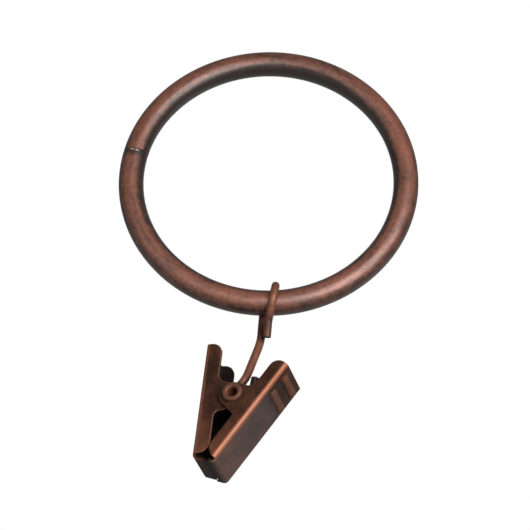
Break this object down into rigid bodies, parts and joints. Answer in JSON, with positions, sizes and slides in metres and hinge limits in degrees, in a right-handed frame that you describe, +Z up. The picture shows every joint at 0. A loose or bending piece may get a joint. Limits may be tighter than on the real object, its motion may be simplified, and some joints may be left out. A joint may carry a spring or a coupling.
{
  "type": "curtain ring with clip",
  "caption": "Round curtain ring of rolled bar carrying a wire hook with a sprung two-jaw clip that grips the edge of a curtain.",
  "frame": {"origin": "centre of the ring, on the axis of the rod it slides on", "axes": "+Y along the rod, away from the viewer of the picture; +Z up, with the clip hanging down; +X to the right"},
  "size_m": [0.06, 0.0137, 0.0937],
  "materials": {
    "ring_copper": "antique copper plating, brushed back and lacquered",
    "wire_copper": "antique copper plating on drawn wire",
    "clip_copper": "antique copper plating, dark in the recesses",
    "spring_steel": "antique copper plating on spring wire"
  },
  "bodies": {
    "ring": {"ring": "ring_copper"},
    "hook": {"wire_hook": "wire_copper"},
    "clip": {"inner_jaw": "clip_copper", "pivot_eyelet": "clip_copper", "torsion_spring": "spring_steel"},
    "outer_jaw": {"outer_jaw": "clip_copper"}
  },
  "joints": [
    {"name": "hook_swing", "type": "hinge", "parent": "ring", "child": "hook", "pos_m": [0.00619, 0, -0.0268], "axis": [0.9744, 0, 0.225], "range_deg": [-100, 100]},
    {"name": "clip_swing", "type": "hinge", "parent": "hook", "child": "clip", "pos_m": [0.00619, 0, -0.0494], "axis": [-0.2351, -0.972, 0], "range_deg": [-22, 8]},
    {"name": "jaw_open", "type": "hinge", "parent": "clip", "child": "outer_jaw", "pos_m": [0.00619, 0, -0.0494], "axis": [-0.2351, -0.972, 0], "range_deg": [0, 30], "stiffness_Nm_per_rad": 0.01, "springref_deg": -17.19, "deforming": ["torsion_spring"]}
  ]
}
